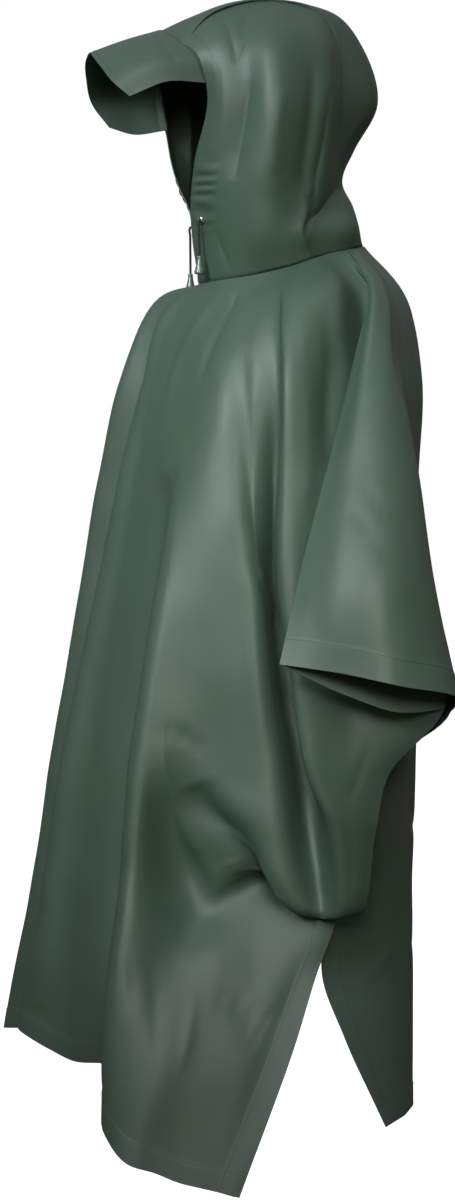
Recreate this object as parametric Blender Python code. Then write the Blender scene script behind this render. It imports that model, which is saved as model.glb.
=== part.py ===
"""Hooded rain poncho, hanging as it is worn and empty inside.

Units are metres, +Z is up, the face opening looks along -Y and the wearer's left is +X.
The origin is the middle of the neck seam.  The front and back panels are read from fold
lines that run from the neck seam to the hem; each fold line lists one point per station.
"""
import math

import bpy
import numpy as np

MM = 0.001
WALL = 1.4 * MM            # cloth thickness of the panels and the hood
PEAK_WALL = 1.8 * MM       # two layers of the same cloth
HOOD_LIFT = 1.7 * MM       # hood edge above the edge of the panels at the neck seam
PARTS_ALONG = 2            # mesh steps between two stations of a fold line
PARTS_ACROSS = 2           # mesh steps between two neighbouring fold lines
CUFF_STATION = 5           # last station of the fold lines that end at the sleeve opening

CORD_DIAMETER = 2.8 * MM
EYELET_OUTER = 4.9 * MM
EYELET_INNER = 2.5 * MM
EYELET_HEIGHT = 1.6 * MM
CORD_END_LENGTH = 21.0 * MM
CORD_END_TOP = 2.9 * MM
CORD_END_BASE = 6.2 * MM

HOOD_TURN = 0.32           # how far the far side of the hood swings forward per mm of width

# Neck seam: angle from the front centre, then x, y, z in mm.
NECK = (
    (0, 0, -92, -27),
    (30, 46, -76, -26),
    (60, 79, -42, -22),
    (90, 94, 2, -11),
    (120, 86, 46, 4),
    (150, 54, 88, 14),
    (180, 0, 103, 18),
)

# Front panel, wearer's left half.  Fold line: neck angle, then x, y, z in mm at
# yoke, chest, ribs, waist, cuff, hip, pouch, lip, tuck, thigh, skirt, hem.
FRONT_SLEEVE = {
    "sleeve front seam": (135, ((155, 77, -37), (211, 48, -135), (265, 8, -252),
                                (309, -30, -364), (329, -54, -453))),
    "sleeve inside": (131, ((147, 80, -42), (201, 64, -139), (252, 44, -256),
                            (300, 32, -371), (331, 20, -487))),
    "sleeve inside rear": (127, ((141, 84, -44), (193, 72, -140), (240, 62, -258),
                                 (287, 68, -372), (330, 74, -505))),
}
FRONT_BODY = {
    "sleeve valley and side edge": (
        122, ((139, 78, -45), (187, 75, -141), (228, 74, -257), (271, 94, -368), (317, 128, -501),
              (282, 72, -582), (276, 62, -636), (258, 46, -727), (242, 40, -711), (245, 14, -765),
              (279, -33, -880), (313, -95, -1019))),
    "front of arm": (
        108, ((176, 34, -45), (216, 22, -136), (241, 18, -257), (261, 24, -366), (279, 44, -486),
              (286, 32, -584), (284, 38, -638), (262, 38, -729), (243, 34, -711), (246, 4, -769),
              (277, -42, -881), (312, -104, -1017))),
    "arm ridge": (
        92, ((168, -20, -56), (228, -30, -136), (247, -34, -257), (263, -38, -365), (275, -30, -462),
             (284, -8, -580), (287, 14, -632), (264, 26, -731), (242, 24, -709), (246, -7, -773),
             (275, -56, -881), (310, -114, -1014))),
    "arm trough": (
        80, ((149, -22, -55), (176, -28, -140), (172, -33, -257), (177, -34, -368), (199, -22, -466),
             (222, -6, -586), (229, -3, -641), (250, 4, -730), (224, -4, -702), (244, -28, -775),
             (276, -76, -881), (307, -134, -1009))),
    "side of chest": (
        64, ((124, -45, -64), (166, -58, -145), (188, -57, -257), (203, -52, -367), (219, -47, -464),
             (237, -40, -585), (248, -33, -649), (250, -18, -724), (214, -30, -698), (238, -60, -776),
             (276, -104, -882), (303, -158, -1003))),
    "chest": (
        51, ((93, -71, -63), (141, -88, -145), (170, -95, -257), (189, -101, -368), (200, -105, -464),
             (209, -104, -580), (221, -96, -630), (226, -70, -676), (202, -78, -702), (235, -106, -779),
             (275, -140, -884), (298, -183, -993))),
    "pinch": (
        44, ((72, -84, -62), (123, -102, -149), (152, -118, -257), (175, -131, -368), (188, -140, -464),
             (196, -156, -570), (184, -146, -638), (182, -128, -698), (193, -120, -728), (229, -147, -782),
             (273, -180, -880), (293, -211, -984))),
    "front fold": (
        35, ((59, -94, -61), (101, -113, -149), (135, -132, -257), (162, -152, -368), (180, -166, -458),
             (196, -183, -570), (202, -191, -635), (210, -198, -694), (219, -203, -721), (238, -213, -787),
             (256, -223, -881), (265, -232, -960))),
    "front valley": (
        24, ((34, -107, -59), (49, -137, -147), (66, -156, -257), (75, -168, -370), (83, -178, -470),
             (91, -193, -581), (98, -201, -648), (107, -206, -709), (112, -209, -736), (125, -215, -795),
             (140, -216, -855), (151, -212, -912))),
    "front face": (
        13, ((14, -120, -60), (25, -150, -147), (31, -170, -257), (33, -188, -373), (35, -203, -474),
             (37, -222, -591), (40, -229, -666), (43, -238, -728), (44, -240, -751), (47, -246, -808),
             (48, -249, -865), (47, -252, -921))),
    "centre ridge": (
        5, ((-2, -131, -58), (2, -161, -146), (-2, -184, -257), (-6, -205, -374), (-9, -224, -477),
            (-13, -245, -586), (-15, -259, -666), (-17, -271, -736), (-18, -276, -760), (-20, -288, -813),
            (-22, -295, -857), (-23, -301, -897))),
    "centre valley": (
        0, ((-19, -122, -58), (-26, -144, -146), (-32, -163, -257), (-38, -179, -374), (-42, -196, -480),
            (-48, -215, -592), (-52, -228, -670), (-54, -240, -740), (-55, -243, -764), (-57, -252, -820),
            (-59, -258, -864), (-61, -264, -906))),
    "far centre ridge": (
        -7, ((-45, -127, -37), (-62, -179, -143), (-76, -203, -257), (-85, -222, -377), (-93, -239, -482),
             (-102, -260, -605), (-109, -270, -678), (-111, -281, -744), (-111, -285, -768),
             (-118, -296, -829), (-125, -304, -875), (-126, -311, -918))),
    "far valley": (
        -22, ((-50, -112, -62), (-76, -140, -147), (-100, -158, -257), (-118, -172, -372),
              (-128, -186, -474), (-138, -204, -586), (-146, -214, -655), (-152, -222, -716),
              (-156, -226, -742), (-166, -236, -800), (-178, -244, -862), (-190, -250, -925))),
}
CENTRE_LINES = ("centre valley", "far centre ridge", "far valley")
NEAR_ONLY = ("front valley", "front face", "centre ridge")

# Back panel, wearer's left half.  Same stations as the front panel.
BACK_SLEEVE = {
    "sleeve front edge": (136.5, ((157, 77, -36), (213, 48, -134), (267, 8, -251),
                                  (311, -30, -363), (331, -54, -452))),
    "sleeve outside": (139.5, ((170, 81, -40), (244, 57, -137), (303, 30, -252),
                               (352, 8, -361), (367, 6, -460))),
    "sleeve outside rear": (143, ((163, 95, -43), (243, 76, -138), (311, 62, -252),
                                  (366, 53, -360), (391, 58, -471))),
    "sleeve back fold": (147, ((142, 104, -43), (220, 97, -136), (283, 105, -250),
                               (326, 114, -364), (358, 132, -488))),
}
BACK_BODY = {
    "back valley and side edge": (
        151, ((131, 113, -50), (184, 112, -136), (222, 108, -252), (242, 106, -366), (311, 136, -505),
              (262, 45, -590), (250, 36, -645), (232, 22, -705), (230, 16, -735), (236, 9, -798),
              (252, 29, -862), (274, 73, -960))),
    "back side": (
        156, ((112, 126, -50), (150, 130, -133), (165, 128, -252), (180, 122, -368), (195, 125, -503),
              (190, 112, -600), (187, 108, -650), (180, 106, -710), (178, 106, -738), (180, 104, -800),
              (186, 108, -865), (196, 112, -965))),
    "back ridge": (
        162, ((95, 137, -49), (103, 152, -130), (117, 144, -257), (126, 139, -371), (126, 138, -509),
              (126, 138, -600), (126, 138, -655), (126, 137, -712), (126, 137, -740), (126, 137, -803),
              (126, 136, -865), (125, 135, -967))),
    "back valley": (
        171, ((50, 138, -46), (55, 146, -130), (60, 134, -257), (64, 126, -371), (64, 122, -509),
              (66, 120, -600), (66, 119, -655), (66, 118, -712), (66, 118, -740), (66, 117, -803),
              (66, 116, -865), (66, 115, -966))),
}
BACK_CENTRE = (
    180, ((0, 146, -44), (0, 156, -128), (0, 148, -256), (0, 143, -370), (0, 142, -508),
          (0, 141, -600), (0, 141, -655), (0, 140, -712), (0, 140, -740), (0, 140, -803),
          (0, 139, -865), (0, 138, -966)))

# Last stations (tuck, thigh, skirt, hem) of the wearer's right back panel where they differ.
FAR_VENT = {
    "back valley and side edge": ((-232, 26, -735), (-232, 48, -800), (-220, 106, -868), (-192, 140, -960)),
    "back side": ((-180, 108, -738), (-178, 112, -802), (-172, 122, -868), (-158, 142, -963)),
}

# Hood side panel, wearer's left.  Line: neck angle, then x, y, z in mm at
# throat, jaw, nape, cheek, temple, brow, crown.
HOOD_SIDE = {
    "face edge": (3, ((13, -101, 26), (27, -105, 63), (37, -105, 86), (48, -104, 108),
                      (79, -95, 195), (77, -107, 228), (57, -122, 247))),
    "casing": (27, ((51, -83, 24), (66, -85, 65), (75, -85, 88), (82, -83, 110),
                    (97, -79, 193), (88, -82, 240), (57, -90, 281))),
    "front trough": (49, ((78, -63, 21), (89, -66, 67), (94, -65, 89), (99, -61, 118),
                          (108, -53, 181), (101, -52, 239), (57, -52, 296))),
    "middle": (74, ((106, -30, 19), (116, -32, 65), (122, -31, 90), (126, -30, 117),
                    (130, -28, 178), (117, -26, 237), (57, -10, 300))),
    "rear trough": (92, ((107, 0, 24), (105, 10, 58), (108, 12, 88), (112, 15, 119),
                         (117, 19, 182), (105, 21, 238), (58, 22, 296))),
    "rear ridge": (98, ((105, 10, 27), (96, 31, 58), (98, 36, 89), (101, 40, 121),
                        (105, 45, 184), (93, 44, 240), (59, 37, 291))),
    "rear seam": (104, ((100, 20, 28), (79, 42, 60), (58, 62, 91), (70, 62, 126),
                        (80, 64, 182), (72, 62, 240), (60, 47, 284))),
}
FAR_DROOP = (0, 0, 0, 4, 33, 22, 3)     # mm the far face edge hangs lower, one per station
FAR_PULL = (7, 12, 8, 6, 0, 0, 0)       # mm the drawcord pulls the far face edge back
PULL_SHARES = {"face edge": 1.0, "casing": 0.8, "front trough": 0.4}

# Hood centre panel from the peak over the crown to the neck seam: side seam x, y, z,
# quarter point x, y, z, centre y, z in mm.
HOOD_CENTRE = (
    ((57, -122, 247), (32, -134, 261), (-139, 268)),
    ((57, -90, 281), (32, -93, 287), (-95, 289)),
    ((57, -52, 296), (32, -52, 301), (-52, 302)),
    ((57, -10, 300), (32, -10, 304), (-10, 305)),
    ((58, 22, 296), (34, 28, 300), (30, 301)),
    ((60, 47, 284), (40, 64, 286), (73, 288)),
    ((72, 62, 240), (46, 92, 246), (103, 250)),
    ((80, 64, 182), (52, 106, 184), (119, 187)),
    ((70, 62, 126), (42, 82, 129), (91, 131)),
    ((58, 62, 91), (32, 73, 94), (76, 96)),
    ((79, 42, 60), (56, 76, 62), (88, 64)),
    ((100, 20, 28), (70, 79, 29), (97, 32)),
)
CENTRE_NECK_ANGLES = (104, 141, 180)

# Peak from the wearer's left temple over the forehead to the right temple:
# point on the hood seam, point half way out, point on the front edge, in mm.
PEAK = (
    ((81, -96.8, 198), (85, -140, 198), (84, -184, 180)),
    ((79, -108.8, 229), (82, -152, 220), (79, -200, 194)),
    ((57, -123.8, 248), (54, -170, 240), (45, -213, 219)),
    ((32, -135.8, 262), (28, -179, 251), (22, -219, 233)),
    ((0, -140.8, 269), (0, -182, 256), (0, -221, 241)),
    ((-32, -146.8, 262), (-28, -184, 251), (-24, -223, 234)),
    ((-57, -141.8, 246), (-56, -182, 238), (-54, -219, 218)),
    ((-78, -132.8, 206), (-84, -172, 202), (-82, -209, 192)),
    ((-79, -125.8, 162), (-85, -158, 158), (-87, -188, 166)),
)


def clear_scene():
    for old in list(bpy.data.objects):
        bpy.data.objects.remove(old, do_unlink=True)


def material(name, colour, roughness, metallic=0.0):
    made = bpy.data.materials.new(name)
    made.use_nodes = True
    shader = made.node_tree.nodes["Principled BSDF"]
    shader.inputs["Base Color"].default_value = (*colour, 1.0)
    shader.inputs["Roughness"].default_value = roughness
    shader.inputs["Metallic"].default_value = metallic
    return made


def smooth_line(points, parts):
    """Cubic curve through the points with `parts` steps between each pair."""
    points = np.asarray(points, dtype=float)
    steps = np.linalg.norm(np.diff(points, axis=0), axis=1)[:, None]
    slopes = np.diff(points, axis=0) / steps
    inner = (slopes[:-1] * steps[1:] + slopes[1:] * steps[:-1]) / (steps[:-1] + steps[1:])
    tangents = np.vstack((slopes[:1], inner, slopes[-1:]))
    line = []
    for index, step in enumerate(steps):
        for part in range(parts):
            t = part / parts
            line.append(points[index] * (2 * t**3 - 3 * t**2 + 1)
                        + points[index + 1] * (3 * t**2 - 2 * t**3)
                        + tangents[index] * step * (t**3 - 2 * t**2 + t)
                        + tangents[index + 1] * step * (t**3 - t**2))
    line.append(points[-1])
    return np.array(line)


def neck_point(angle):
    """Point of the neck seam at an angle from the front centre, positive to the wearer's left."""
    near = [row[1:] for row in NECK]
    far = [(-x, y, z) for x, y, z in reversed(near[:-1])]
    before = [(-x, y, z) for x, y, z in reversed(near[1:])]
    ring = smooth_line(before + near + far[:1], 30)
    at = (angle + 180.0)
    low = int(math.floor(at))
    blend = at - low
    return ring[low] * (1.0 - blend) + ring[low + 1] * blend


def mirrored(line):
    return np.array([(-x, y, z) for x, y, z in line])


def fold_lines(table):
    """Full fold lines in mm, neck point first."""
    return [np.vstack((neck_point(angle), points)) for angle, points in table.values()]


def far_vent(name, line):
    """The far side of the back panel, whose loose corner is blown back at the hem."""
    line = mirrored(line)
    if name in FAR_VENT:
        line[-len(FAR_VENT[name]):] = FAR_VENT[name]
    return line


def panel_grid(sleeve, body, sleeve_far, body_far, centre):
    """Grid of points, rows down the cloth; sleeve columns stop at the cuff."""
    lines = sleeve + body + centre + body_far + sleeve_far
    fine = [smooth_line(line, PARTS_ALONG) for line in lines]
    cuff_row = CUFF_STATION * PARTS_ALONG
    first = len(sleeve)
    last = len(lines) - len(sleeve_far)
    grid = np.full((len(fine[first]), (len(lines) - 1) * PARTS_ACROSS + 1, 3), np.nan)
    for row in range(len(grid)):
        if row <= cuff_row:
            grid[row] = smooth_line([line[row] for line in fine], PARTS_ACROSS)
        else:
            low = first * PARTS_ACROSS
            part = smooth_line([line[row] for line in fine[first:last]], PARTS_ACROSS)
            grid[row, low:low + len(part)] = part
    return grid


def vertex_normals(points, faces):
    normals = np.zeros_like(points)
    for face in faces:
        a, b, c, d = (points[i] for i in face)
        normals[list(face)] += np.cross(c - a, d - b)
    return normals / np.linalg.norm(normals, axis=1)[:, None]


def halves(quad, points):
    """Two triangles of a quad along its shorter diagonal, so that both faces of a sheet match."""
    a, b, c, d = quad
    if np.linalg.norm(points[a] - points[c]) <= np.linalg.norm(points[b] - points[d]):
        return [(a, b, c), (a, c, d)]
    return [(a, b, d), (b, c, d)]


def cloth(name, grid, wall, surface):
    """Closed sheet of constant thickness around a grid of points in mm."""
    rows, columns = grid.shape[:2]
    index = -np.ones((rows, columns), dtype=int)
    filled = ~np.isnan(grid[:, :, 0])
    index[filled] = np.arange(int(filled.sum()))
    points = grid[filled] * MM
    quads = []
    for row in range(rows - 1):
        for column in range(columns - 1):
            quad = (index[row, column], index[row, column + 1],
                    index[row + 1, column + 1], index[row + 1, column])
            if min(quad) >= 0:
                quads.append(quad)
    normals = vertex_normals(points, quads)
    faces = [half for quad in quads for half in halves(quad, points)]
    count = len(points)
    vertices = np.vstack((points + normals * wall / 2, points - normals * wall / 2))
    shell = [tuple(face) for face in faces]
    shell += [tuple(i + count for i in reversed(face)) for face in faces]
    used = {}
    for face in faces:
        for a, b in zip(face, face[1:] + face[:1]):
            used[(a, b)] = True
    for a, b in used:
        if (b, a) not in used:
            shell.append((b, a, a + count, b + count))
    return solid(name, vertices, shell, surface)


def solid(name, vertices, faces, surface):
    """One closed mesh object with its faces pointing out."""
    vertices = np.asarray(vertices)
    volume = 0.0
    for face in faces:
        for i in range(1, len(face) - 1):
            a, b, c = vertices[face[0]], vertices[face[i]], vertices[face[i + 1]]
            volume += float(np.dot(a, np.cross(b, c)))
    if volume < 0:
        faces = [tuple(reversed(face)) for face in faces]
    mesh = bpy.data.meshes.new(name)
    mesh.from_pydata([tuple(map(float, v)) for v in vertices], [],
                     [tuple(int(i) for i in face) for face in faces])
    mesh.validate()
    made = bpy.data.objects.new(name, mesh)
    bpy.context.collection.objects.link(made)
    made.data.materials.append(surface)
    return made


def front_panel_grid():
    sleeve = fold_lines(FRONT_SLEEVE)
    near = fold_lines({k: v for k, v in FRONT_BODY.items() if k not in CENTRE_LINES})
    centre = fold_lines({k: FRONT_BODY[k] for k in CENTRE_LINES})
    far = fold_lines({k: v for k, v in FRONT_BODY.items()
                      if k not in CENTRE_LINES and k not in NEAR_ONLY})
    return panel_grid(sleeve, near, [mirrored(line) for line in reversed(sleeve)],
                      [mirrored(line) for line in reversed(far)], centre)


def back_panel_grid():
    sleeve = fold_lines(BACK_SLEEVE)
    body = fold_lines(BACK_BODY)
    far_body = [far_vent(name, line) for name, line in zip(BACK_BODY, body)]
    centre = [np.vstack((neck_point(BACK_CENTRE[0]), BACK_CENTRE[1]))]
    return panel_grid(sleeve, body, [mirrored(line) for line in reversed(sleeve)],
                      far_body[::-1], centre)


def turned(point, droop=0.0, pull=0.0):
    """The same place on the far side of the hood, which is turned a little forward."""
    x, y, z = point
    share = min(max((z + 20.0) / 110.0, 0.0), 1.0)
    return (-x, y - HOOD_TURN * x * share + pull, z - droop)


def hood_side_grid(far):
    lines = []
    for name, (angle, points) in HOOD_SIDE.items():
        start = neck_point(-angle if far else angle) + (0, 0, HOOD_LIFT / MM)
        if far:
            drop = FAR_DROOP if name == "face edge" else (0,) * len(points)
            share = PULL_SHARES.get(name, 0.0)
            points = [turned(p, d, pull * share) for p, d, pull in zip(points, drop, FAR_PULL)]
        lines.append(smooth_line(np.vstack((start, points)), 2))
    return np.array([smooth_line([line[row] for line in lines], 2)
                     for row in range(len(lines[0]))])


def hood_centre_grid():
    """Strip a seam's width inside the two side panels."""
    rows = []
    for side, quarter, middle in HOOD_CENTRE:
        rows.append([side, quarter, (0, *middle), turned(quarter), turned(side)])
    angles = CENTRE_NECK_ANGLES
    neck = [neck_point(a) for a in angles] + [neck_point(-a) for a in reversed(angles[:-1])]
    rows.append([point + (0, 0, HOOD_LIFT / MM) for point in neck])
    lines = [smooth_line([row[i] for row in rows], 2) for i in range(5)]
    grid = np.array([smooth_line([line[row] for line in lines], 2) for row in range(len(lines[0]))])
    return inset(grid, 1.2)


def inset(grid, margin):
    """Pull the first and last column of a grid in by a margin in mm."""
    for edge, inner in ((0, 1), (-1, -2)):
        step = grid[:, inner] - grid[:, edge]
        grid[:, edge] += step / np.linalg.norm(step, axis=1)[:, None] * margin
    return grid


def peak_grid():
    lines = [smooth_line(section, 2) for section in PEAK]
    return np.array([smooth_line([line[row] for line in lines], 3)
                     for row in range(len(lines[0]))])


def ring(name, centre, axis, inner, outer, height, surface, sides=20):
    """Flat ring with a square section standing on a point, open through its middle."""
    axis = axis / np.linalg.norm(axis)
    across = np.cross(axis, (0.0, 0.0, 1.0))
    across /= np.linalg.norm(across)
    up = np.cross(axis, across)
    profile = ((inner, 0.0), (outer, 0.0), (outer, height), (inner, height))
    vertices = []
    for i in range(sides):
        turn = 2.0 * math.pi * i / sides
        out = across * math.cos(turn) + up * math.sin(turn)
        vertices += [centre + out * radius + axis * rise for radius, rise in profile]
    faces = []
    for i in range(sides):
        for j in range(4):
            k = (i + 1) % sides
            faces.append((4 * i + j, 4 * i + (j + 1) % 4, 4 * k + (j + 1) % 4, 4 * k + j))
    return solid(name, vertices, faces, surface)


def bell(name, top, surface, sides=20):
    """Hollow-looking cord end: narrow at the cord and flared at the bottom."""
    profile = ((0.0, CORD_END_TOP), (0.25, CORD_END_TOP * 1.1), (0.6, CORD_END_BASE * 0.72),
               (0.88, CORD_END_BASE), (1.0, CORD_END_BASE * 0.93))
    vertices = []
    for down, radius in profile:
        for i in range(sides):
            turn = 2.0 * math.pi * i / sides
            vertices.append(top + np.array((radius * math.cos(turn), radius * math.sin(turn),
                                            -down * CORD_END_LENGTH)))
    faces = [tuple(range(sides))]
    for level in range(len(profile) - 1):
        for i in range(sides):
            j = (i + 1) % sides
            faces.append((level * sides + i, (level + 1) * sides + i,
                          (level + 1) * sides + j, level * sides + j))
    faces.append(tuple(reversed(range((len(profile) - 1) * sides, len(profile) * sides))))
    return solid(name, vertices, faces, surface)


def cord(name, points, diameter, surface):
    curve = bpy.data.curves.new(name, "CURVE")
    curve.dimensions = "3D"
    curve.bevel_depth = diameter / 2
    curve.bevel_resolution = 2
    curve.use_fill_caps = True
    spline = curve.splines.new("POLY")
    spline.points.add(len(points) - 1)
    for place, point in zip(spline.points, points):
        place.co = (*map(float, point), 1.0)
    made = bpy.data.objects.new(name, curve)
    bpy.context.collection.objects.link(made)
    made.data.materials.append(surface)
    return made


def drawcord_parts(side, grid, metal, braid, plastic):
    """Eyelet in the casing, the free end of the cord and its cord end."""
    row, column = 3, 1
    place = grid[row, column] * MM
    along = grid[row + 1, column] - grid[row - 1, column]
    across = grid[row, column + 1] - grid[row, column - 1]
    out = np.cross(across, along)
    out /= np.linalg.norm(out)
    if out[1] > 0:
        out = -out
    ring("eyelet_" + side, place + out * (WALL / 2 + 0.3 * MM), out,
         EYELET_INNER, EYELET_OUTER, EYELET_HEIGHT, metal)
    start = place + out * (WALL / 2 + 0.5 * MM)
    bend = start + out * 3.2 * MM
    hang = np.array((-5.0, 2.0, -40.0)) if side == "left" else np.array((-4.0, 1.0, -55.0))
    path = [start, bend + np.array((0.0, 0.0, -1.2)) * MM, bend + hang * 0.2 * MM,
            bend + hang * 0.6 * MM, bend + hang * MM]
    cord("drawcord_" + side, smooth_line(path, 3), CORD_DIAMETER, braid)
    bell("cord_end_" + side, path[-1] + np.array((0.0, 0.0, -0.3 * MM)), plastic)


def main():
    clear_scene()
    fabric = material("coated fabric", (0.13, 0.19, 0.16), 0.5)
    metal = material("eyelet metal", (0.62, 0.62, 0.58), 0.3, 1.0)
    braid = material("braided cord", (0.12, 0.18, 0.15), 0.8)
    plastic = material("moulded plastic", (0.35, 0.42, 0.37), 0.3)
    cloth("front_panel", front_panel_grid(), WALL, fabric)
    cloth("back_panel", back_panel_grid(), WALL, fabric)
    near = hood_side_grid(False)
    far = hood_side_grid(True)
    cloth("hood_side_left", near, WALL, fabric)
    cloth("hood_side_right", far, WALL, fabric)
    cloth("hood_centre", hood_centre_grid(), WALL, fabric)
    cloth("peak", peak_grid(), PEAK_WALL, fabric)
    drawcord_parts("left", near, metal, braid, plastic)
    drawcord_parts("right", far, metal, braid, plastic)


main()
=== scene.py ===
"""Looks of a hooded rain poncho: fine cloth on its fold lines, hems, stitches and drawcord.

Tables are in millimetres; meshes are in metres, +Z up.  The face opening looks along -Y, the
wearer's left is +X and the origin is the middle of the neck seam.
"""
import math

import bmesh
import bpy
import numpy as np
from mathutils import Matrix, Vector, noise


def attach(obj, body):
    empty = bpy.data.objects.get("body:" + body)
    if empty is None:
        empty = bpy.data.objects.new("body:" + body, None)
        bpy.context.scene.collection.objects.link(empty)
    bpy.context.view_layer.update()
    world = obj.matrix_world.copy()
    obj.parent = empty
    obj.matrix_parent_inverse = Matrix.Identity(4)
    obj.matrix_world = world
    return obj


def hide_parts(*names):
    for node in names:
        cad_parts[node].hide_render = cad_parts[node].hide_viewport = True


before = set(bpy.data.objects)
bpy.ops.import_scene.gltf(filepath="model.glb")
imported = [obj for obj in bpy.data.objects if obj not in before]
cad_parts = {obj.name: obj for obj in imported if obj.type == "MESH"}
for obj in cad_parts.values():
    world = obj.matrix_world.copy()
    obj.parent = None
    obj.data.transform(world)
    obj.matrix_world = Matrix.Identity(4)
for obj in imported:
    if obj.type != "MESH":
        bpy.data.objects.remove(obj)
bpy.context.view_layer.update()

MM = 0.001
ROOT = "root"

SHARP_CLOTH = 55            # degrees past which an edge of the cloth is drawn sharp
CLOTH_HALF = 0.4            # half of the drawn cloth thickness, mm
HEM_LIFT = 0.45             # how far a turned hem stands proud of the single cloth, mm
HEM_SLOPE = 1.5             # width of the step at the hem's inner edge, mm
HEM_WIDTH = 25.0            # turned hem of the skirt and the vents, mm
CUFF_WIDTH = 30.0           # turned hem of the sleeve opening, mm
STITCH_INSET = 1.6          # row of stitches inside the fold of a hem, mm
STITCH_PITCH = 3.6
STITCH_LENGTH = 2.7
STITCH_RADIUS = 0.32
STITCH_SIDES = 5
STITCH_RINGS = ((-0.5, 0.35), (-0.3, 1.0), (0.3, 1.0), (0.5, 0.35))   # place, girth as shares
LONGEST_GAP = 25.0          # a row of stitches ends where its points lie further apart, mm
OFF_AXIS = (0.3, 0.2, 0.93)     # a way that no row of stitches takes
PROUD = 0.1                 # stitches above the face of the cloth, mm
CASING_WIDTH = 18.0         # hem along the hood's face edge that holds the drawcord, mm
PEAK_STITCH = 6.0           # row of stitches from the peak's front edge, mm
CUFF_STATION = 5            # station at which the sleeve columns stop
VENT_STATION = 8            # station below which the side edges hang free
HOOD_LIFT = 1.7             # hood edge above the panels at the neck seam, mm
HOOD_TURN = 0.32            # how far the far side of the hood swings forward per mm of width
TURN_START = -20.0          # height from which it swings, mm
TURN_RISE = 110.0           # height over which the swing grows to its full size, mm
PEAK_HALF = 0.8             # half of the peak's two layers, mm

CORD_DIAMETER = 2.8 * MM
CORD_SIDES = 14
SHARP_CORD = 60             # degrees past which an edge of the cord is drawn sharp
CORD_MARKS = 41             # rings along a free end
EYELET_OUTER = 4.9 * MM
EYELET_INNER = 2.5 * MM
EYELET_HEIGHT = 1.6 * MM
CORD_END_LENGTH = 21.0 * MM
CORD_END_TOP = 2.9 * MM
CORD_END_BASE = 6.2 * MM
CAD_WALL = 1.4 * MM
CORD_DROP = {"left": (-5.0, 2.0, -40.0), "right": (-4.0, 1.0, -55.0)}    # bend to cord end, mm
FLOOR_Z = -1.47             # ground under a wearer of 1.75 m

# Neck seam: angle from the front centre, then x, y, z in mm.
NECK = (
    (0, 0, -92, -27),
    (30, 46, -76, -26),
    (60, 79, -42, -22),
    (90, 94, 2, -11),
    (120, 86, 46, 4),
    (150, 54, 88, 14),
    (180, 0, 103, 18),
)

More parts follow.
